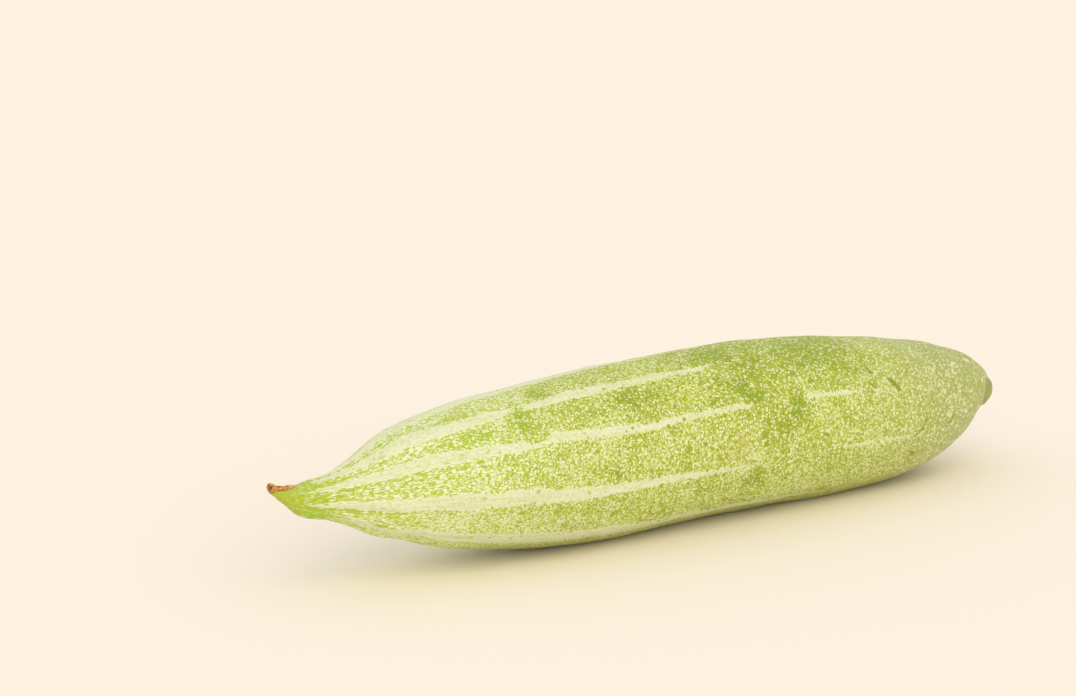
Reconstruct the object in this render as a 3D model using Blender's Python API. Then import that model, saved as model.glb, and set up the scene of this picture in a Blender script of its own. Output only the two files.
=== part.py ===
"""Snake gourd: one picked fruit lying on its belly, with the dried end of its stem.

Metres, +Z up. The fruit's length runs along X with the stem end at -X, and it rests
on a small flat of its belly, in the plane Z = 0. It grew as one piece, so it is one
solid. The dried stem end is a piece of its own, on a slanted seat at the fruit's tip.
"""
import math

import bmesh
import bpy
import numpy as np
from mathutils import Vector

NAME = "snake_gourd"
MM = 0.001

# Driving dimensions
LENGTH = 0.300
BOW = 0.0025
GAP = 0.0003

# The fruit's round sections from stem end to blossom end, in millimetres: distance
# from the stem's tip, radius, height of the section's centre
FRUIT_SECTIONS = (
    (2.0, 0.9, 35.2),  # tip, under the stem's knob
    (6.0, 2.6, 33.8),
    (12.0, 5.5, 32.0),
    (20.0, 7.3, 31.0),  # neck
    (29.0, 10.3, 30.2),
    (38.0, 14.8, 29.8),  # shoulder
    (50.0, 19.2, 30.2),
    (68.0, 23.4, 29.4),
    (100.0, 27.2, 27.9),
    (150.0, 28.8, 28.2),  # belly
    (195.0, 28.9, 27.9),
    (230.0, 27.2, 26.0),
    (256.0, 24.0, 24.8),
    (274.0, 19.0, 25.8),
    (286.0, 13.8, 26.8),
    (292.5, 9.4, 27.2),
    (295.8, 6.2, 27.3),  # foot of the blossom end's cap
    (297.6, 4.9, 27.3),
    (299.4, 3.0, 27.3),
    (300.0, 0.5, 27.3),
)

# The dried stem end's sections, in the same terms: a knob at the tip, and a thin
# wedge that runs back along the top of the neck
STEM_SECTIONS = (
    (0.0, 0.8, 36.6),
    (0.8, 1.5, 36.6),
    (1.9, 1.6, 36.5),
    (3.1, 1.2, 36.2),
    (4.6, 0.9, 35.9),
    (6.8, 0.7, 36.0),
    (9.2, 0.5, 36.5),
)

# The stem's seat is a plane through this point, in millimetres, that rises towards
# the neck
SEAT_DISTANCE = 1.8
SEAT_HEIGHT = 34.6
SEAT_ANGLE = math.atan(0.27)

# Boxes that cut: how far they reach back from the seat's start, and their sizes
SEAT_BACK = 0.005
SEAT_BOX = Vector((0.020, 0.020, 0.010))
FLOOR_BOX = Vector((LENGTH, LENGTH, 0.020))

SKIN_COLOR = (0.45, 0.53, 0.13)
DRIED_COLOR = (0.42, 0.20, 0.06)
SKIN_ROUGHNESS = 0.4
DRIED_ROUGHNESS = 0.8

FRUIT_SIDES = 48
STEM_SIDES = 20
RINGS_PER_SPAN = 3
SHARP_ANGLE = math.radians(35)


def remove_old_objects():
    for old in list(bpy.data.objects):
        bpy.data.objects.remove(old, do_unlink=True)


def new_collection(name):
    made = bpy.data.collections.new(name)
    bpy.context.scene.collection.children.link(made)
    return made


def new_material(name, color, roughness):
    made = bpy.data.materials.new(name)
    made.use_nodes = True
    shader = made.node_tree.nodes["Principled BSDF"]
    shader.inputs["Base Color"].default_value = (*color, 1.0)
    shader.inputs["Roughness"].default_value = roughness
    shader.inputs["Metallic"].default_value = 0.0
    return made


def rows_through(sections):
    """Rows on a smooth curve through the sections, a cubic span between each two."""
    given = np.array(sections)
    spans = np.linalg.norm(np.diff(given, axis=0), axis=1)
    along = np.concatenate(([0.0], np.cumsum(spans)))
    slopes = np.gradient(given, along, axis=0)
    rows = []
    for index, span in enumerate(spans):
        start, end = given[index], given[index + 1]
        leaving, arriving = slopes[index] * span, slopes[index + 1] * span
        for step in range(RINGS_PER_SPAN):
            t = step / RINGS_PER_SPAN
            row = start + (end - start) * t * t * (3 - 2 * t)
            row = row + leaving * t * (1 - t) ** 2 + arriving * t * t * (t - 1)
            rows.append(row)
    rows.append(given[-1])
    return rows


def sideways(x):
    """The slight bow to one side, which leaves the middle of the length at Y = 0."""
    return BOW * (math.sin(math.pi * x / LENGTH) - 1)


def weld_caps(mesh):
    """Join a swept tube's loose caps to its wall."""
    edit = bmesh.new()
    edit.from_mesh(mesh)
    bmesh.ops.remove_doubles(edit, verts=edit.verts, dist=0.01 * MM)
    edit.to_mesh(mesh)
    edit.free()


def swept_body(name, sections, sides, home):
    """A closed round body through the sections: a tube curve, made a mesh to be cut."""
    rows = rows_through(sections)
    curve = bpy.data.curves.new(name + "_line", "CURVE")
    curve.dimensions = "3D"
    curve.bevel_depth = MM
    curve.bevel_resolution = sides // 2 - 2
    curve.use_fill_caps = True
    spline = curve.splines.new("POLY")
    spline.points.add(len(rows) - 1)
    for point, (distance, radius, height) in zip(spline.points, rows):
        x = distance * MM
        point.co = (x, sideways(x), height * MM, 1.0)
        point.radius = radius
    line = bpy.data.objects.new(name + "_line", curve)
    home.objects.link(line)
    line.location.x = -LENGTH / 2
    bpy.context.view_layer.update()

    shape = line.evaluated_get(bpy.context.evaluated_depsgraph_get())
    mesh = bpy.data.meshes.new_from_object(shape)
    mesh.name = name
    weld_caps(mesh)
    mesh.shade_smooth()
    mesh.set_sharp_from_angle(angle=SHARP_ANGLE)
    body = bpy.data.objects.new(name, mesh)
    body.matrix_world = line.matrix_world
    home.objects.link(body)
    bpy.data.objects.remove(line)
    return body


def cutting_box(name, size, corner, angle, home):
    """A box that cuts. The middle of its lower edge at -X is the corner."""
    bpy.ops.mesh.primitive_cube_add(size=1.0)
    box = bpy.context.object
    for old_home in list(box.users_collection):
        old_home.objects.unlink(box)
    home.objects.link(box)
    box.name = name
    for vertex in box.data.vertices:
        vertex.co.x = (vertex.co.x + 0.5) * size.x
        vertex.co.y = vertex.co.y * size.y
        vertex.co.z = (vertex.co.z + 0.5) * size.z
    box.location = corner
    box.rotation_euler.y = -angle
    box.hide_render = True
    box.display_type = "WIRE"
    return box


def cut(body, box):
    change = body.modifiers.new(box.name, "BOOLEAN")
    change.operation = "DIFFERENCE"
    change.solver = "EXACT"
    change.object = box


def seat_point(forward, lift):
    """A point measured along the seat's plane and square to it, from where it starts."""
    along = Vector((math.cos(SEAT_ANGLE), 0.0, math.sin(SEAT_ANGLE)))
    out = Vector((-math.sin(SEAT_ANGLE), 0.0, math.cos(SEAT_ANGLE)))
    start = Vector((SEAT_DISTANCE * MM - LENGTH / 2, 0.0, SEAT_HEIGHT * MM))
    return start + along * forward + out * lift


def make_fruit(home, cutters):
    fruit = swept_body("gourd", FRUIT_SECTIONS, FRUIT_SIDES, home)
    fruit.data.materials.append(new_material("gourd_skin", SKIN_COLOR, SKIN_ROUGHNESS))

    # The flat of the belly that it lies on, pressed in by its own weight
    corner = Vector((-LENGTH / 2, 0.0, -FLOOR_BOX.z))
    cut(fruit, cutting_box("rest_flat", FLOOR_BOX, corner, 0.0, cutters))

    # The seat of the dried stem end
    corner = seat_point(-SEAT_BACK, 0.0)
    cut(fruit, cutting_box("stem_seat", SEAT_BOX, corner, SEAT_ANGLE, cutters))


def make_stem_end(home, cutters):
    stem = swept_body("stem_end", STEM_SECTIONS, STEM_SIDES, home)
    stem.data.materials.append(new_material("dried_stem", DRIED_COLOR, DRIED_ROUGHNESS))

    # Its underside, flat and just clear of the seat
    corner = seat_point(-SEAT_BACK, GAP - SEAT_BOX.z)
    cut(stem, cutting_box("stem_underside", SEAT_BOX, corner, SEAT_ANGLE, cutters))


remove_old_objects()
parts = new_collection(NAME)
cutters = new_collection("cutters")
make_fruit(parts, cutters)
make_stem_end(parts, cutters)
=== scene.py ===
"""A snake gourd: one picked fruit on its belly, with the dried end of its stem."""
import math

import bpy
import numpy as np
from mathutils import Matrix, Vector


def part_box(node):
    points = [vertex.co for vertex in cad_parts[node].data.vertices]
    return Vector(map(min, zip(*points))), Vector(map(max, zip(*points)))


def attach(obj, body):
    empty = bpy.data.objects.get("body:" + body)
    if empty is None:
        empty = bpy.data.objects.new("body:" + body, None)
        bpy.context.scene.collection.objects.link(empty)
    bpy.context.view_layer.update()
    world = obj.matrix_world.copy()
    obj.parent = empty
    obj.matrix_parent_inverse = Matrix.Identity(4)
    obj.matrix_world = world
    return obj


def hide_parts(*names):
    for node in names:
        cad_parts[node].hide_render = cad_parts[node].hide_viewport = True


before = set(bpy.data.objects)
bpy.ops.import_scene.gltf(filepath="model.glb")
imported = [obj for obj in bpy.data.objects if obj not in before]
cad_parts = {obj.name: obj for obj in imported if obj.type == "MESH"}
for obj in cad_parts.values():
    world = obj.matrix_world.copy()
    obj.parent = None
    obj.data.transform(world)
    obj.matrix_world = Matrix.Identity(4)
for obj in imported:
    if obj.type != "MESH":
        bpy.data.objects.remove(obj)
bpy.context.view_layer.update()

# ---------------------------------------------------------------------------
# The fruit
# It grew as a single piece of firm flesh under a thin rind: a neck that sweeps up to
# the stem, a belly that its own weight pressed flat, and a small raised cap where the
# blossom was. Ten pale stripes and countless cream specks grew into the green rind.
# ---------------------------------------------------------------------------

# The fruit is laid out 300 millimetres long, and then put between the ends of the
# solid fruit: MM is one such millimetre in metres
FULL_LENGTH = 300
stem_tip_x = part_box("stem_end")[0][0]
blossom_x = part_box("gourd")[1][0]
MM = (blossom_x - stem_tip_x) / FULL_LENGTH

# From the neck to the blossom end, in millimetres: distance from the stem's tip,
# radius, height of the section's centre
FRUIT_SECTIONS = (
    (0.1, 0.15, 36.9),  # tip, inside the dried stalk
    (0.6, 0.7, 36.4),
    (1.8, 1.1, 35.7),
    (3.2, 1.6, 34.95),
    (6.0, 2.7, 33.8),
    (12.0, 5.5, 32.0),
    (20.0, 6.9, 31.3),  # neck
    (29.0, 10.0, 30.7),
    (38.0, 14.4, 30.3),  # shoulder
    (50.0, 18.8, 30.7),
    (68.0, 23.1, 29.8),
    (100.0, 27.2, 27.9),
    (150.0, 28.8, 28.2),  # belly
    (195.0, 28.9, 27.9),
    (230.0, 27.2, 26.0),
    (256.0, 24.4, 24.8),
    (274.0, 19.1, 26.3),
    (286.0, 13.1, 27.3),
    (292.0, 9.0, 26.7),
    (296.0, 5.8, 25.8),
    (298.6, 3.2, 25.4),
    (299.4, 0.3, 25.3),
)
BELLY_RADIUS = 28.9
BOW = 2.5
RINGS = 460
SPOKES = 208

# How far the rind stands out of the round, in millimetres, and how sharply the belly
# turns into the flat that it lies on
RIB_COUNT = 10
RIB_PHASE = math.radians(7)
BODY_RIB_DEPTH = 0.10
NECK_RIB_DEPTH = 0.22
PLEAT_DEPTH = 0.16
LUMP_DEPTH = 0.30
SMALL_LUMP_DEPTH = 0.06
BELLY_SOFTNESS = 0.3

# The blossom's cap, in millimetres: it looks out along CAP_WAY, and a shallow groove
# runs round its foot
CAP_CENTRE = np.array((293.6, -10.4, 25.8))
CAP_WAY = np.array((0.62, -0.76, -0.2))
CAP_RADIUS = 5.7
CAP_EDGE = 1.8
CAP_RISE = 1.0
CAP_GROOVE_DEPTH = 0.10
CAP_GROOVE_RADIUS = 6.2
CAP_GROOVE_WIDTH = 0.7
FAR_FROM_CAP = 99.0


def rows_along(sections, shares):
    """Rows at these shares of the way along a smooth curve through the sections.

    Each span is a cubic whose ends keep the curve's slope at its two sections.
    """
    given = np.array(sections)
    spans = np.linalg.norm(np.diff(given, axis=0), axis=1)
    stops = np.concatenate(([0.0], np.cumsum(spans)))
    slopes = np.gradient(given, stops, axis=0)
    place = shares * stops[-1]
    span = np.clip(np.searchsorted(stops, place, side="right") - 1, 0, len(spans) - 1)
    length = spans[span][:, None]
    t = ((place - stops[span]) / spans[span])[:, None]
    rise = t * t * (3 - 2 * t)
    rows = given[span] * (1 - rise) + given[span + 1] * rise
    rows = rows + slopes[span] * length * t * (1 - t) ** 2
    return rows + slopes[span + 1] * length * t * t * (t - 1)


def swell(points, waves, longest, shortest, seed):
    """Soft lumps, mostly from -1 to 1: sine waves that run in seeded directions.

    They are summed and divided by the square root of how many there are.
    """
    dice = np.random.default_rng(seed)
    total = np.zeros(points.shape[:-1])
    for _ in range(waves):
        way = dice.normal(size=3)
        way = way / np.linalg.norm(way)
        wavelength = math.exp(dice.uniform(math.log(shortest), math.log(longest)))
        phase = dice.uniform(0, 2 * math.pi)
        total += np.sin(points @ way * (2 * math.pi / wavelength) + phase)
    return total / math.sqrt(waves)


def fade(value, start, end):
    """0 before start, 1 past end, and a smooth rise between."""
    t = np.clip((value - start) / (end - start), 0, 1)
    return t * t * (3 - 2 * t)


def bowed(distance):
    """How far the middle line lies to the side: half a sine wave, less its top."""
    return BOW * (np.sin(math.pi * distance / FULL_LENGTH) - 1)


def carried_rings(rows, angles, stand_out):
    """Points of rings square to the bent middle line, in millimetres.

    A ring's point is its centre plus the radius times (cos of the angle to the far
    side, +Y, and sin of it upwards). stand_out is added to the radius.
    """
    distance, radius, height = rows.T
    centre = np.stack((distance, bowed(distance), height), axis=1)
    forward = np.gradient(centre, axis=0)
    forward /= np.linalg.norm(forward, axis=1)[:, None]
    up = np.cross(forward, (0.0, 1.0, 0.0))
    up /= np.linalg.norm(up, axis=1)[:, None]
    far = np.cross(up, forward)
    reach = (radius[:, None] + stand_out)[..., None]
    around = np.cos(angles)[None, :, None] * far[:, None]
    around = around + np.sin(angles)[None, :, None] * up[:, None]
    return centre[:, None] + reach * around


def on_cylinder(along, radius, angles):
    """Points of a grid: (along, radius times the angle's cos, radius times its sin)."""
    grid = np.empty((len(along), len(angles), 3))
    grid[..., 0] = along[:, None]
    grid[..., 1] = radius[:, None] * np.cos(angles)
    grid[..., 2] = radius[:, None] * np.sin(angles)
    return grid


def closed_grid_piece(name, points):
    """A closed piece of rings of points, in metres, with a fan of triangles at each end.

    A fan's tip is the mean of its ring.
    """
    ends = (points[0].mean(axis=0), points[-1].mean(axis=0))
    rings, spokes = points.shape[:2]
    ring, spoke = np.meshgrid(np.arange(rings - 1), np.arange(spokes), indexing="ij")
    after = (spoke + 1) % spokes
    corners = (ring * spokes + spoke, ring * spokes + after)
    corners += ((ring + 1) * spokes + after, (ring + 1) * spokes + spoke)
    quads = np.stack(corners, axis=-1).reshape(-1, 4)
    first, last = rings * spokes, rings * spokes + 1
    fan = np.arange(spokes)
    beside = (fan + 1) % spokes
    start_fan = np.stack((np.full(spokes, first), beside, fan), axis=1)
    far_ring = (rings - 1) * spokes
    end_fan = np.stack((np.full(spokes, last), far_ring + fan, far_ring + beside), axis=1)
    places = np.concatenate((points.reshape(-1, 3), ends))
    mesh = bpy.data.meshes.new(name)
    mesh.from_pydata(places, [], quads.tolist() + start_fan.tolist() + end_fan.tolist())
    mesh.shade_smooth()

    # An even unrolled map: distance along the body one way, angle around it the other
    across = np.stack((ring, ring, ring + 1, ring + 1), axis=-1) / (rings - 1)
    round_it = np.stack((spoke, spoke + 1, spoke + 1, spoke), axis=-1) / spokes
    quad_map = np.stack((across, round_it), axis=-1).reshape(-1, 2)
    middle = (fan + 0.5) / spokes
    start_map = np.stack((middle, (fan + 1) / spokes, fan / spokes), axis=1)
    end_map = np.stack((middle, fan / spokes, (fan + 1) / spokes), axis=1)
    start_map = np.stack((np.zeros((spokes, 3)), start_map), axis=-1).reshape(-1, 2)
    end_map = np.stack((np.ones((spokes, 3)), end_map), axis=-1).reshape(-1, 2)
    unrolled = mesh.uv_layers.new(name="OFBake")
    margin = 0.01
    flat = np.concatenate((quad_map, start_map, end_map)) * (1 - 2 * margin) + margin
    unrolled.data.foreach_set("uv", flat.astype(np.float32).ravel())
    mesh.update()
    piece = bpy.data.objects.new(name, mesh)
    bpy.context.scene.collection.objects.link(piece)
    return piece


def keep_on_points(piece, name, values, kind="FLOAT"):
    """Store a value at each ring point, and a nearby one at each of the two end points."""
    listed = values.reshape(-1, 3) if kind == "FLOAT_VECTOR" else values.reshape(-1)
    stored = np.concatenate((listed, listed[:1], listed[-1:])).astype(np.float32)
    field = piece.data.attributes.new(name, kind, "POINT")
    field.data.foreach_set("vector" if kind == "FLOAT_VECTOR" else "value", stored.ravel())


def spokes_around(count):
    """Angles that start at the underside, so that the unrolled map's seam lies there."""
    return np.linspace(0, 2 * math.pi, count, endpoint=False) - math.pi / 2


rows = rows_along(FRUIT_SECTIONS, np.linspace(0, 1, RINGS))
angles = spokes_around(SPOKES)
distance, radius, height = rows.T
degrees = np.degrees(angles) % 360

# The rind as it grew, before the neck drew in: the markings follow this. It has fewer
# millimetres along the neck, so a speck there is longer than it is wide.
drawn_out = 0.30 + 0.70 * fade(distance, 18, 100)
path = np.concatenate(([0.0], np.linalg.norm(np.diff(rows, axis=0), axis=1)))
grown = np.cumsum(path * drawn_out)
evened = 0.45 * (1 - fade(distance, 150, 180))
grown_radius = radius ** (1 - evened) * BELLY_RADIUS**evened
rind = on_cylinder(grown, grown_radius, angles)
fibre = on_cylinder(grown, np.full(RINGS, BELLY_RADIUS), angles)

# Long soft ribs and fine pleats that gather towards the neck, and broad uneven lumps
body_share = fade(distance, 4, 30) * (1 - fade(distance, 270, 292))
gathered = fade(distance, 4, 14) * (1 - fade(distance, 30, 110))
rib_drift = 0.5 * np.sin(distance / 23)[:, None]
ribs = np.cos(RIB_COUNT * (angles[None, :] - RIB_PHASE) + rib_drift)
pleats = swell(rind * (0.12, 1.0, 1.0), waves=18, longest=9, shortest=4, seed=11)
lumps = swell(rind, waves=16, longest=80, shortest=26, seed=3)
small_lumps = swell(rind, waves=20, longest=16, shortest=7, seed=5)
rib_depth = (BODY_RIB_DEPTH + NECK_RIB_DEPTH * gathered) * body_share
stand_out = ribs * rib_depth[:, None] + pleats * (PLEAT_DEPTH * gathered)[:, None]
stand_out = stand_out + lumps * (LUMP_DEPTH * body_share)[:, None]
stand_out = stand_out + small_lumps * (SMALL_LUMP_DEPTH * body_share)[:, None]
points = carried_rings(rows, angles, stand_out)

# The cap is a low round button on the end, a little to one side. Its reach is the
# distance from the line through its middle.
from_cap = points - CAP_CENTRE
cap_reach = np.linalg.norm(from_cap - (from_cap @ CAP_WAY)[..., None] * CAP_WAY, axis=-1)
near_cap = fade(from_cap @ CAP_WAY, -7.0, -4.0)
cap_share = (1 - fade(cap_reach, CAP_RADIUS - CAP_EDGE, CAP_RADIUS)) * near_cap
cap_foot = np.exp(-(((cap_reach - CAP_GROOVE_RADIUS) / CAP_GROOVE_WIDTH) ** 2)) * near_cap
points += (CAP_RISE * cap_share - CAP_GROOVE_DEPTH * cap_foot)[..., None] * CAP_WAY

# The belly is pressed flat where it lies: a soft corner in place of max(z, 0)
z = points[..., 2]
points[..., 2] = (z + np.sqrt(z * z + BELLY_SOFTNESS**2)) / 2
points *= MM
points[..., 0] += stem_tip_x

# The markings' own places are kept in plain metres
IN_METRES = 0.001
fruit = closed_grid_piece("gourd_fruit", points)
keep_on_points(fruit, "rind", rind * IN_METRES, "FLOAT_VECTOR")
keep_on_points(fruit, "fibre", fibre * IN_METRES, "FLOAT_VECTOR")
keep_on_points(fruit, "cap_reach", np.where(near_cap > 0.5, cap_reach, FAR_FROM_CAP))
keep_on_points(fruit, "along", np.repeat(distance[:, None], SPOKES, axis=1))

# Each stripe's course around the fruit: distance from the stem's tip in millimetres,
# then its lower and its upper edge in degrees. Edges that cross leave a gap.
STRIPES = (
    (
        (20, 68, 86), (45, 70, 88), (80, 76, 88), (120, 77, 85), (150, 79, 82),
        (165, 81, 79),
    ),
    (
        (20, 96, 114), (40, 106, 123), (62, 112, 123), (78, 114, 121),
        (87, 117.5, 118.5), (97, 112, 119.5), (115, 110, 118), (130, 112.5, 118),
        (146, 111.5, 117), (156, 114, 117), (166, 113.5, 115), (180, 115, 114),
    ),
    (
        (20, 134, 150), (40, 138, 152), (60, 143, 152), (78, 146, 151), (88, 149, 150),
        (93, 142, 148), (110, 145.5, 151), (130, 148.5, 153), (152, 148.5, 152),
        (168, 148.5, 151.5), (178, 150.5, 152), (187, 152, 151), (193, 152, 151),
        (198, 149.5, 152), (213, 149.5, 151.7), (219, 151, 150.6), (262, 151.2, 151.0),
    ),
    (
        (20, 180, 196), (40, 182, 195), (62, 182, 194), (80, 181, 192), (100, 183, 192),
        (120, 185, 191), (140, 187, 191), (155, 189, 191.8), (168, 190.5, 191.5),
        (176, 192, 190), (212, 189, 188), (222, 188, 190), (238, 188.3, 189.4),
        (249, 190, 189),
    ),
    (
        (20, 222, 232), (45, 222, 235), (80, 221, 234), (104, 220, 232), (125, 222, 232),
        (140, 224, 230), (165, 226, 231), (190, 227.5, 230.5), (214, 230, 229),
    ),
    (
        (20, 256, 270), (48, 258, 271), (90, 260, 268), (130, 261, 267),
        (152, 264, 265.5), (163, 265, 263),
    ),
    (
        (20, 292, 306), (44, 293, 307), (70, 295, 305), (96, 299, 302), (104, 296, 303),
        (140, 297.5, 302), (172, 299, 302), (184, 301, 300), (196, 299, 301.6),
        (208, 301, 299.5),
    ),
    (
        (20, 328, 344), (42, 330, 343), (75, 333, 342), (110, 334, 340), (126, 337, 336),
        (134, 335, 339), (158, 337, 338.5), (166, 338.5, 337),
    ),
    (
        (20, 4, 18), (46, 4, 17), (84, 7, 15), (112, 8, 14.5), (148, 10, 14),
        (186, 11, 13.6), (205, 13, 12), (226, 11.5, 13), (240, 13, 12),
    ),
    (
        (20, 36, 52), (44, 37, 51), (66, 40, 50), (88, 44, 47), (95, 41, 48),
        (128, 42, 47), (160, 44.5, 46.5), (174, 46, 44),
    ),
)

# Patches of rind, some of them painted shade: distance along, degrees around, half length,
# half width in millimetres, and how much greener (above 0) or browner (below 0) it is
RIND_PATCHES_AND_PAINTED_SHADE = (
    # partly greener rind and partly painted shade: darker green over the top
    (172, 112, 30, 26, 0.54),
    (128, 128, 26, 10, 0.22),
    # partly greener rind and partly painted shade: darker green over the top
    (216, 104, 22, 20, 0.66),
    # painted shade: these two darken the lower side, below the middle of the near face
    (110, 205, 30, 9, 0.16),
    (160, 207, 30, 8, 0.22),
    (180, 165, 22, 10, 0.16),
    (84, 130, 4.5, 9.0, 0.8),
    (97, 106, 5.0, 5.0, 0.7),
    (60, 108, 12.0, 3.0, 0.4),
    (60, 133, 16.0, 7.0, 0.3),
    (68, 133, 5.0, 2.5, 0.6),
    (112, 134, 4.0, 2.0, 0.5),
    (130, 128, 10.0, 3.5, 0.4),
    (150, 131, 7.0, 3.0, -0.5),
    (161, 118, 6.0, 2.5, -0.5),
    (171, 105, 5.0, 4.0, 0.6),
    (173, 137, 2.5, 3.5, 0.8),
    (177, 147, 3.0, 1.6, 0.8),
    (192, 156, 3.0, 5.0, 0.6),
    (186, 168, 5.0, 4.0, 0.4),
    (166, 172, 7.0, 5.0, -0.7),
    (160, 183, 12.0, 3.0, -0.3),
    (173, 201, 4.5, 2.6, 1.0),
    (116, 177, 2.0, 1.6, 0.6),
    (196, 113, 12.0, 8.0, 0.2),
    (206, 122, 4.0, 2.0, 0.5),
    (228, 146, 1.6, 2.6, 0.7),
    (10, 112, 3.5, 8.0, 0.9),
    (13, 222, 4.5, 9.0, 1.0),
    (36, 219, 2.0, 2.0, 0.6),
    (12, 30, 4.0, 8.0, 0.8),
    (14, 330, 4.0, 7.0, 0.8),
    (70, 20, 6.0, 5.0, 0.6),
    (96, 355, 5.0, 7.0, 0.7),
    (138, 30, 8.0, 4.0, -0.5),
    (150, 318, 7.0, 5.0, 0.7),
    (185, 350, 8.0, 6.0, 0.5),
    (210, 24, 5.0, 5.0, -0.5),
    (120, 280, 9.0, 5.0, 0.5),
    (190, 285, 7.0, 6.0, -0.4),
    (230, 60, 4.0, 6.0, 0.5),
)

# Small marks: from and to, each as distance along and degrees around, then half the
# width in millimetres. Green spots from growing, scratches and brown scars.
GREEN_SPOTS = (
    (183, 168, 183, 168, 0.75),
    (171, 175, 171, 175, 0.6),
    (125, 153, 125, 153, 0.55),
    (140, 154, 141, 154, 0.6),
    (80, 125, 81, 125, 0.9),
    (67, 135, 69, 134, 0.8),
    (198, 178, 200, 178, 1.0),
    (116, 179, 116, 179, 0.6),
    (35, 221, 37, 224, 1.3),
    (88, 126, 91, 121, 1.1),
    (93, 106, 97, 103, 1.1),
    (168, 99, 174, 100, 1.0),
    (204, 121, 207, 125, 0.9),
    (171, 134, 176, 146, 1.1),
)
SCRATCHES = (
    (236.0, 143, 238.8, 150.5, 1.1),
    (227.8, 131, 229.3, 136.5, 0.8),
    (246, 189, 248.5, 184, 0.55),
    (248.5, 184, 251, 176, 0.55),
    (263, 187, 266, 183, 0.6),
    (143, 330, 152, 338, 0.6),
    (212, 40, 216, 31, 0.6),
)
SCARS = (
    (245.5, 203, 247, 206, 1.0),
    (203, 178, 203.4, 178, 0.8),
    (99, 292, 101, 295, 0.9),
    (188, 20, 188, 21, 0.9),
)
MM_A_DEGREE = math.pi / 180 * BELLY_RADIUS
CLEAR_OF_STRIPES = -9.0  # millimetres inside a stripe's edge, where there is no stripe
RUN_OUT_WIDTH = -4  # half a stripe's width in degrees, past its last row


def turn_from(degrees, middle):
    """Degrees from a middle, the short way round, from -180 to 180."""
    return (degrees - middle + 180) % 360 - 180


def inside_stripes(stripes):
    """Millimetres inside the nearest stripe's edge, from a stripe's middle outwards.

    Half the stripe's width, less the way around the fruit from its middle. Ahead of
    its first row a stripe narrows towards the stem, and past its last row it ends.
    """
    narrowed = 0.35 + 0.65 * fade(distance, 8, 20)
    depth = np.full((RINGS, SPOKES), CLEAR_OF_STRIPES)
    for stripe in stripes:
        stops, low, high = np.array(stripe, float).T
        middle = np.interp(distance, stops, (low + high) / 2)
        half = np.interp(distance, stops, (high - low) / 2, right=RUN_OUT_WIDTH)
        half = np.where(distance < stops[0], half * narrowed, half)
        turn = turn_from(degrees[None, :], middle[:, None])
        depth = np.maximum(depth, (half[:, None] - np.abs(turn)) * MM_A_DEGREE)
    return depth


def patch_field(patches):
    """The sum of soft spots, each exp(-(length share squared + width share squared))."""
    total = np.zeros((RINGS, SPOKES))
    for along, around, half_length, half_width, strength in patches:
        wide = turn_from(degrees[None, :], around) * MM_A_DEGREE / half_width
        long = ((distance - along) / half_length)[:, None]
        total += strength * np.exp(-(wide**2 + long**2))
    return total


keep_on_points(fruit, "stripe", inside_stripes(STRIPES))
keep_on_points(fruit, "patch_and_painted_shade", patch_field(RIND_PATCHES_AND_PAINTED_SHADE))


class Signal:
    """A value in a material's nodes: adding, multiplying and so on add Math nodes."""

    def __init__(self, tree, socket=None):
        self.tree = tree
        self.socket = socket

    def node(self, kind, settings=None, sockets=None, out=0):
        """Any node: its settings are set first, then its sockets' values or links."""
        made = self.tree.nodes.new(kind)
        for name, value in (settings or {}).items():
            setattr(made, name, value)
        for name, value in (sockets or {}).items():
            if isinstance(value, Signal):
                self.tree.links.new(value.socket, made.inputs[name])
            else:
                made.inputs[name].default_value = value
        return Signal(self.tree, made.outputs[out])

    def math(self, operation, *values, clamp=False):
        settings = {"operation": operation, "use_clamp": clamp}
        return self.node("ShaderNodeMath", settings, dict(enumerate(values)))

    def __add__(self, other):
        return self.math("ADD", self, other)

    def __sub__(self, other):
        return self.math("SUBTRACT", self, other)

    def __rsub__(self, other):
        return self.math("SUBTRACT", other, self)

    def __mul__(self, other):
        return self.math("MULTIPLY", self, other)

    def __truediv__(self, other):
        return self.math("DIVIDE", self, other)

    def __rtruediv__(self, other):
        return self.math("DIVIDE", other, self)

    __radd__ = __add__
    __rmul__ = __mul__

    def rise(self, start, end):
        """0 at start and 1 at end, smooth between them and level past them.

        start may be the higher of the two, and then the value counts downwards.
        """
        settings = {"interpolation_type": "SMOOTHSTEP"}
        ends = {"Value": self, "From Min": start, "From Max": end}
        return self.node("ShaderNodeMapRange", settings, ends)

    def clamped(self):
        return self.math("ADD", self, 0.0, clamp=True)

    def feed(self, shader, name):
        """Link this value to one of the shader's sockets."""
        self.tree.links.new(self.socket, shader.inputs[name])


def new_finish(name):
    """A material with a Principled shader, and the Signal that its nodes start from."""
    finish = bpy.data.materials.new(name)
    finish.use_nodes = True
    shader = finish.node_tree.nodes["Principled BSDF"]
    return finish, shader, Signal(finish.node_tree)


def color(red, green, blue):
    """A colour as it looks on a screen, from 0 to 255, made linear for the shader."""
    shown = np.array((red, green, blue)) / 255
    linear = np.where(shown <= 0.04045, shown / 12.92, ((shown + 0.055) / 1.055) ** 2.4)
    return (*linear.tolist(), 1.0)


def mixed(share, under, over):
    """The colour under, with that share of it replaced by the colour over."""
    sockets = {0: share, 6: under, 7: over}
    return share.node("ShaderNodeMix", {"data_type": "RGBA"}, sockets, out=2)


def layered(under, layers):
    """Each layer's colour over those before it, by as much as its share says."""
    for share, over in layers:
        under = mixed(share, under, over)
    return under


def vector_math(operation, *values, out=0):
    start = next(value for value in values if isinstance(value, Signal))
    settings = {"operation": operation}
    return start.node("ShaderNodeVectorMath", settings, dict(enumerate(values)), out=out)


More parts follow.
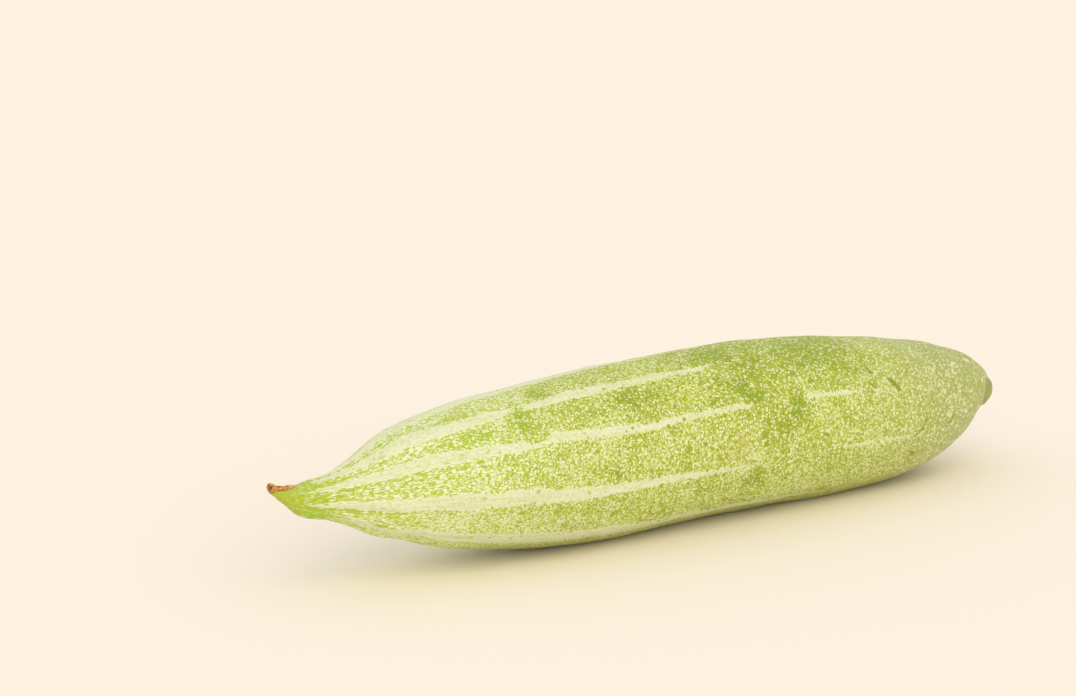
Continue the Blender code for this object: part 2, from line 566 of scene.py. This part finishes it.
def stretched(vector, scale):
    """A place with each part multiplied, so that a pattern on it is longer one way."""
    return vector_math("MULTIPLY", vector, scale)


def part_of(vector, axis):
    """One of a vector's three parts."""
    return vector.node("ShaderNodeSeparateXYZ", None, {0: vector}, out="xyz".index(axis))


def noise(vector, scale, detail=2.0, roughness=0.5, distortion=0.0, out=0):
    """Noise with that many waves a metre: out is 0 for a number and 1 for a colour."""
    sockets = {"Vector": vector, "Scale": scale, "Detail": detail}
    sockets.update({"Roughness": roughness, "Distortion": distortion})
    return vector.node("ShaderNodeTexNoise", None, sockets, out=out)


def cells(vector, scale, out=0):
    """Scattered points, that many a metre: out is 0 for the way to the nearest one."""
    sockets = {"Vector": vector, "Scale": scale}
    return vector.node("ShaderNodeTexVoronoi", None, sockets, out=out)


def cell_chance(vector, scale):
    """A number from 0 to 1 for each scattered point: the red part of its colour."""
    return vector.node("ShaderNodeSeparateColor", None, {0: cells(vector, scale, out=1)})


def attribute(start, name, out=2):
    """A value stored on the mesh: out is 1 for a vector and 2 for a number."""
    return start.node("ShaderNodeAttribute", {"attribute_name": name}, None, out=out)


def grown_spot(along, turn):
    """A spot's place on the grown rind, from its millimetres along and degrees around."""
    spot_radius = np.interp([along], distance, grown_radius)
    spot_along = np.interp([along], distance, grown)
    return on_cylinder(spot_along, spot_radius, np.radians([turn]))[0, 0] * IN_METRES


def near_marks(place, marks):
    """1 on any of the marks and 0 past its half width.

    The distance to a mark is the length of the way from its nearest point, which is
    its start plus a share, held between 0 and 1, of the way from start to end.
    """
    found = None
    for from_along, from_degrees, to_along, to_degrees, half_width in marks:
        mark_start = grown_spot(from_along, from_degrees)
        way = grown_spot(to_along, to_degrees) - mark_start
        offset = vector_math("SUBTRACT", place, tuple(mark_start))
        if way @ way > 0:
            towards_end = tuple(way / (way @ way))
            share = vector_math("DOT_PRODUCT", offset, towards_end, out=1).clamped()
            sockets = {0: tuple(way), 3: share}
            reached = share.node("ShaderNodeVectorMath", {"operation": "SCALE"}, sockets)
            offset = vector_math("SUBTRACT", offset, reached)
        gap = vector_math("LENGTH", offset, out=1)
        half_width_m = half_width * IN_METRES
        mark = 1 - gap.rise(0.6 * half_width_m, 1.1 * half_width_m)
        found = mark if found is None else found.math("MAXIMUM", found, mark)
    return found


skin, shader, start = new_finish("gourd_skin")
rind_place = attribute(start, "rind", out=1)
fibre_place = attribute(start, "fibre", out=1)
stripe = attribute(start, "stripe")
patch_and_painted_shade = attribute(start, "patch_and_painted_shade")
along = attribute(start, "along")
cap_reach = attribute(start, "cap_reach")
place = start.node("ShaderNodeTexCoord", None, None, out=3)

# Parts of the fruit, by millimetres from the stem's tip
shoulder = 1 - along.rise(50, 125)
neck = 1 - along.rise(22, 66)
throat = 1 - along.rise(9, 26)
tip = 1 - along.rise(4, 13)
yellow_tip = 1 - along.rise(3, 9)
blossom_end = along.rise(212, 268)
last_part = along.rise(266, 291)

# Every marking wanders a little, so that no edge is straight
wander = vector_math("SUBTRACT", noise(rind_place, 650, 2.0, out=1), (0.5, 0.5, 0.5))


def wandered(reach):
    """The grown rind's place, moved by up to half that many metres."""
    return vector_math("MULTIPLY_ADD", wander, (reach, reach, reach), rind_place)


warped = wandered(0.0009)
rough_place = wandered(0.0030)
uneven = noise(rind_place, 150, 3.0, 0.6) - 0.5
greener_and_painted_shade = (patch_and_painted_shade + uneven * 0.7).rise(0.10, 0.85)
greenest_and_painted_shade = (patch_and_painted_shade + uneven).rise(0.60, 0.95)
browner = (uneven * 0.7 - patch_and_painted_shade).rise(0.12, 0.9)

# Green marks from growing and darker blotches: the cream keeps out of them
green_marks = near_marks(rough_place, GREEN_SPOTS)
blotch_waves = noise(rough_place, 330, 3.0, 0.62) + greener_and_painted_shade * 0.10 - shoulder * 0.04
blotches = blotch_waves.rise(0.58, 0.66) * (1 - 0.7 * blossom_end)

# Round cream dots of many sizes
dot_place = wandered(0.0004)
chance = cell_chance(dot_place, 900)
dot_reach = cells(dot_place, 900) / (0.24 + 0.26 * chance)
dots = dot_reach.rise(1.12, 0.82)
around_dots = dot_reach.rise(0.95, 1.2) * dot_reach.rise(2.0, 1.4)

# Curdled cream between them, drawn into threads along the neck
curd = noise(warped, 1300, 2.0, 0.55) - 0.5
fine_curd = noise(warped, 2400, 1.0, 0.5) - 0.5
crowding = noise(rind_place, 85, 3.0, 0.55) - 0.5
neck_threads = noise(stretched(fibre_place, (38.0, 600.0, 600.0)), 1.0, 4.0, 0.62) - 0.5

# Pale stripes: the cream runs together there, with ragged edges
long_wander = noise(stretched(fibre_place, (130.0, 420.0, 420.0)), 1.0, 3.0, 0.6) - 0.5
ragged = (noise(rind_place, 620, 2.0, 0.6) - 0.5) * 2.0
edge = stripe + long_wander * (2.2 + 1.6 * shoulder) + ragged
stripe_share = edge.rise(-0.9, 0.7) * (1 - 0.75 * greener_and_painted_shade)
stripe_share = stripe_share * (1 - 0.35 * blossom_end) * (1 - 0.7 * tip)

# Where this level is high the rind is cream, and where it is low, a deeper green
level = curd * 0.95 + fine_curd * 0.55 + crowding * 0.30 - 0.014
level = level + dots * 0.24 - around_dots * 0.06 - green_marks * 0.20
level = level - blotches * 0.13 - greenest_and_painted_shade * 0.15
level = level + shoulder * 0.02 - greener_and_painted_shade * (0.12 + 0.08 * shoulder)
level = level + neck_threads * neck * 0.8 - neck * 0.03 - throat * 0.28 - tip * 0.15
cream_share = (level + stripe_share * 0.36).rise(-0.07, 0.13)
deep_share = (level + stripe_share * 0.28).rise(-0.03, -0.12)

# The green ground between the specks, from the widest change of colour to the finest
broad = noise(rind_place, 36, 3.0, 0.55).rise(0.34, 0.66)
middle_ground = mixed(broad, color(188, 204, 50), color(175, 191, 28))
front_ground = mixed(broad, color(201, 220, 86), color(190, 211, 62))
lively = noise(rind_place, 55, 2.0, 0.5).rise(0.52, 0.66) * (1 - blossom_end)
mottle = noise(rind_place, 240, 3.0, 0.65).rise(0.54, 0.70) * (1 - 0.6 * shoulder)
deep = mixed(blossom_end * 0.8, color(146, 162, 0), color(144, 151, 78))
deep = mixed(shoulder * 0.85, deep, color(172, 196, 34))
deep_amount = deep_share * (0.9 - 0.5 * blossom_end - 0.5 * shoulder * greener_and_painted_shade)
fine_grain = noise(warped, 2100, 2.0, 0.6)
pale_grain = fine_grain.rise(0.50, 0.62) * (0.42 - 0.2 * tip - 0.15 * blotches)
dark_grain = fine_grain.rise(0.47, 0.36) * (0.35 - 0.2 * shoulder)
curl_waves = noise(warped, 1250, 1.0, 0.5, 0.8) - 0.5
curls = (1 - curl_waves.math("ABSOLUTE", curl_waves) * 26).clamped()
ground = layered(mixed(shoulder, middle_ground, front_ground), (
    (lively * 0.5, color(178, 212, 40)),
    (mottle * 0.55, color(150, 156, 12)),
    (blossom_end * 0.85, color(158, 169, 106)),
    (throat * 0.85, color(154, 186, 36)),
    (tip, color(176, 188, 0)),
    (yellow_tip, color(206, 186, 16)),
    # greener rind, and painted shade over the top and along the lower side, in these
    # greens
    (greener_and_painted_shade * 0.8, mixed(shoulder, color(150, 170, 8), color(160, 200, 44))),
    (browner * 0.8, color(176, 158, 36)),
    (deep_amount, deep),
    (blotches * 0.9, mixed(shoulder, color(136, 157, 0), color(160, 198, 14))),
    # the deepest green, partly painted shade over the top
    (greenest_and_painted_shade * 0.85, mixed(shoulder, color(132, 160, 0), color(150, 198, 24))),
    (pale_grain, color(208, 217, 118)),
    (dark_grain, color(140, 156, 18)),
    (curls * (0.5 - 0.3 * greener_and_painted_shade), color(212, 222, 132)),
))

# The cream, with faint threads and grain in the stripes
threads = noise(stretched(fibre_place, (70.0, 900.0, 900.0)), 1.0, 3.0, 0.6)
stripe_cream = layered(color(229, 236, 212), (
    (threads.rise(0.42, 0.66) * 0.6, color(206, 217, 156)),
    (curd.rise(0.02, -0.10) * 0.6, color(206, 212, 132)),
))
cream = layered(mixed(shoulder, color(220, 229, 168), color(234, 242, 214)), (
    (blossom_end * 0.9, color(204, 206, 152)),
    (stripe_share, stripe_cream),
    (tip * 0.9, color(212, 210, 70)),
))
cream_amount = cream_share * (0.94 - 0.25 * greener_and_painted_shade - 0.45 * blossom_end - 0.2 * last_part)
end_dots = dots * blossom_end * chance.rise(0.40, 0.55)

# Darker cells scattered over the skin and the stripes
dark_chance = cell_chance(rind_place, 300)
dark_cells = (cells(warped, 300) / (0.12 + 0.12 * dark_chance)).rise(1.2, 0.7)
dark_cells = dark_cells * dark_chance.rise(0.42, 0.5)
dark_cells = dark_cells * (1 - 0.6 * shoulder) * (1 - blossom_end)

# Fat yellowish spots at the blossom end
end_place = stretched(rough_place, (0.7, 1.0, 1.0))
spot_chance = cell_chance(end_place, 260)
spots = (cells(end_place, 260) / (0.14 + 0.18 * spot_chance)).rise(1.1, 0.7)
spots = spots * spot_chance.rise(0.2, 0.26) * along.rise(240, 264)

# Marks from handling, and painted shade on the underside, darker close to the floor
marked_place = wandered(0.0018)
speckled_mark = 0.7 + 0.3 * curd.rise(0.05, -0.05)
scratches = near_marks(marked_place, SCRATCHES) * speckled_mark
scars = near_marks(marked_place, SCARS) * speckled_mark
height_for_painted_shade = part_of(place, "z") + uneven * 0.004

# The cap: a pale foot, a green side, an olive middle and a tawny tip
cap_foot_ring = cap_reach.rise(7.1, 6.0) * cap_reach.rise(5.3, 5.8)
cap_mottle = noise(rind_place, 420, 3.0).rise(0.35, 0.65)
cap_color = layered(mixed(cap_mottle, color(148, 165, 104), color(154, 161, 88)), (
    (cap_reach.rise(3.0, 1.6), color(160, 162, 62)),
    (part_of(place, "x").rise(0.1483, 0.1494), color(172, 154, 24)),
))

skin_color = layered(ground, (
    (cream_amount, cream),
    (dots * (0.45 - 0.25 * tip - 0.3 * last_part), color(234, 240, 204)),
    (end_dots * (0.9 - 0.6 * last_part), color(224, 229, 182)),
    (browner * 0.5, color(190, 166, 62)),
    (dark_cells, color(156, 178, 32)),
    (spots * 0.9, color(221, 224, 166)),
    (scratches, color(126, 150, 8)),
    (scars, color(168, 146, 48)),
    # painted shade: the skin darkens within ten millimetres of the floor, under the belly
    (height_for_painted_shade.rise(0.010, 0.001) * 0.45, color(140, 132, 52)),
    (cap_foot_ring * 0.5, color(198, 204, 150)),
    (cap_reach.rise(CAP_RADIUS, CAP_RADIUS - 0.8), cap_color),
))
skin_color.feed(shader, "Base Color")
rough = 0.46 + 0.14 * noise(rind_place, 300, 3.0) - 0.04 * cream_share
rough.feed(shader, "Roughness")
relief = cream_share * 0.5 + noise(rind_place, 2300, 2.0, 0.6) * 0.6
relief = relief + noise(rind_place, 900, 3.0) * 0.6
relief = relief + neck_threads * neck * 1.5 - scratches * 0.5
bump = {"Strength": 0.6, "Distance": 0.00012, "Height": relief}
relief.node("ShaderNodeBump", None, bump).feed(shader, "Normal")
shader.inputs["Specular IOR Level"].default_value = 0.22
shader.inputs["Sheen Weight"].default_value = 0.06
shader.inputs["Sheen Tint"].default_value = (1.0, 0.93, 0.75, 1.0)
shader.inputs["Sheen Roughness"].default_value = 0.4
fruit.data.materials.append(skin)
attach(fruit, "root")
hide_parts("gourd")

# ---------------------------------------------------------------------------
# The dried stem end
# What is left of the stalk, grown onto the neck: a brittle brown knob with a hollow
# and a torn rim, and a thin dry wedge that clings along the top of the neck.
# ---------------------------------------------------------------------------

# From the hollow's floor over the rim and back along the wedge, in millimetres:
# distance from the stem's tip, radius, height of the section's centre
STEM_SECTIONS = (
    (1.0, 0.1, 37.5),  # floor of the hollow
    (0.8, 0.45, 37.5),
    (0.2, 0.7, 37.55),
    (-0.35, 1.1, 37.6),  # torn rim
    (-0.2, 1.6, 37.6),
    (0.35, 1.75, 37.55),
    (1.1, 1.3, 37.45),
    (2.2, 0.85, 37.2),
    (3.7, 0.72, 37.0),
    (6.0, 0.6, 36.85),
    (8.0, 0.4, 36.85),
    (9.2, 0.15, 37.1),
)
STEM_RINGS = 150
STEM_SPOKES = 72
BARK_LENGTH = 16
BARK_RADIUS = 1.4
SHRIVEL_DEPTH = 0.13
FIBRE_COUNT = 7
FIBRE_DEPTH = 0.07
TORN_DEPTH = 0.22

stem_rows = rows_along(STEM_SECTIONS, np.linspace(0, 1, STEM_RINGS))
stem_angles = spokes_around(STEM_SPOKES)
stem_distance, stem_radius, stem_height = stem_rows.T
bark_way = np.linspace(0, BARK_LENGTH, STEM_RINGS)
bark = on_cylinder(bark_way, np.full(STEM_RINGS, BARK_RADIUS), stem_angles)

# Wrinkles and fibres stand out of the round, less in the hollow and at the thin end,
# and the rim is torn lengthwise
roughened = (0.35 + 0.65 * fade(bark_way, 1.0, 3.0)) * (1 - fade(stem_distance, 7.6, 9.3))
shrivel = swell(bark, waves=26, longest=3.4, shortest=1.0, seed=21) * SHRIVEL_DEPTH
fibre_drift = 0.9 * np.sin(bark_way)[:, None]
fibres = np.cos(FIBRE_COUNT * stem_angles[None, :] + fibre_drift) * FIBRE_DEPTH
stem_reach = stem_radius[:, None] + (shrivel + fibres) * roughened[:, None]
near_rim = 1 - fade(bark_way, 4.0, 6.0)
torn = swell(bark, waves=14, longest=3.6, shortest=1.4, seed=8) * TORN_DEPTH
stem_points = on_cylinder(stem_distance, np.ones(STEM_RINGS), stem_angles)
stem_points[..., 0] += torn * near_rim[:, None]
stem_points[..., 1] *= stem_reach
stem_points[..., 1] += bowed(stem_distance)[:, None]
stem_points[..., 2] *= stem_reach
stem_points[..., 2] += stem_height[:, None]
stem_points *= MM
stem_points[..., 0] += stem_tip_x
stem = closed_grid_piece("dried_stem_end", stem_points)
keep_on_points(stem, "bark_way", np.repeat(bark_way[:, None], STEM_SPOKES, axis=1))

dried, shader, start = new_finish("dried_stem")
place = start.node("ShaderNodeTexCoord", None, None, out=3)
bark_way = attribute(start, "bark_way")
grain = noise(stretched(place, (500.0, 1900.0, 1900.0)), 1.0, 4.0, 0.65)
blotch = noise(place, 1000, 3.0, 0.6)
brown = layered(mixed(grain.rise(0.35, 0.65), color(184, 116, 48), color(226, 172, 100)), (
    (blotch.rise(0.50, 0.38) * 0.85, color(150, 76, 24)),
    (bark_way.rise(1.9, 0.9) * 0.85, color(132, 128, 66)),  # floor of the hollow
    (bark_way.rise(11.0, 14.5) * 0.75, color(226, 190, 150)),  # thin end
))
brown.feed(shader, "Base Color")
rough = 0.7 + 0.2 * grain
rough.feed(shader, "Roughness")
bump = {"Strength": 0.8, "Distance": 0.0002, "Height": grain + blotch}
grain.node("ShaderNodeBump", None, bump).feed(shader, "Normal")
stem.data.materials.append(dried)
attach(stem, "root")
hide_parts("stem_end")

# ---------------------------------------------------------------------------
# The floor, the light and the camera
# A plain cream paper floor in a cream room that lights it from all round, one broad
# warm lamp in front and a little to the left, and a long lens at the stem's side
# that looks along the fruit.
# ---------------------------------------------------------------------------

FLOOR_WIDTH = 12.0
LAMP_SWING, LAMP_HEIGHT, LAMP_BREADTH = -15, 40, 60
VIEW_SWING, VIEW_HEIGHT, VIEW_DISTANCE = -36.67, 15, 1.2

bpy.ops.mesh.primitive_plane_add(size=FLOOR_WIDTH)
floor = bpy.context.object
floor.name = "floor"
paper, shader, start = new_finish("cream_paper")
shader.inputs["Base Color"].default_value = color(250, 243, 233)
shader.inputs["Roughness"].default_value = 0.9
shader.inputs["Specular IOR Level"].default_value = 0.1
floor.data.materials.append(paper)

room = bpy.data.worlds.new("room")
room.use_nodes = True
background = room.node_tree.nodes["Background"]
background.inputs["Color"].default_value = (1.0, 0.978, 0.965, 1.0)
background.inputs["Strength"].default_value = 0.86
bpy.context.scene.world = room


def direction(swing, height):
    """The way towards a point that many degrees round from -Y to +X, and that high."""
    turn, rise = math.radians(swing), math.radians(height)
    flat = math.cos(rise)
    return Vector((math.sin(turn) * flat, -math.cos(turn) * flat, math.sin(rise)))


def facing(way):
    """The turn that makes a lamp or a camera look along a way, with its top upwards."""
    return way.to_track_quat("-Z", "Y").to_euler()


lamp = bpy.data.lights.new("main_lamp", "SUN")
lamp.angle = math.radians(LAMP_BREADTH)
lamp.energy = 0.9
lamp.color = (1.0, 0.80, 0.48)
lamp_stand = bpy.data.objects.new("main_lamp", lamp)
bpy.context.scene.collection.objects.link(lamp_stand)
lamp_stand.rotation_euler = facing(-direction(LAMP_SWING, LAMP_HEIGHT))

centre = Vector((0.0, 0.0, 0.028))
back = direction(VIEW_SWING, VIEW_HEIGHT)
lens = bpy.data.cameras.new("camera")
lens.sensor_width = 36.0
lens.lens = 118.8
lens.shift_x = -0.1048
lens.shift_y = 0.0876
camera = bpy.data.objects.new("camera", lens)
bpy.context.scene.collection.objects.link(camera)
camera.location = centre + back * VIEW_DISTANCE
camera.rotation_euler = facing(-back)
bpy.context.scene.camera = camera
bpy.context.scene.view_settings.view_transform = "Standard"
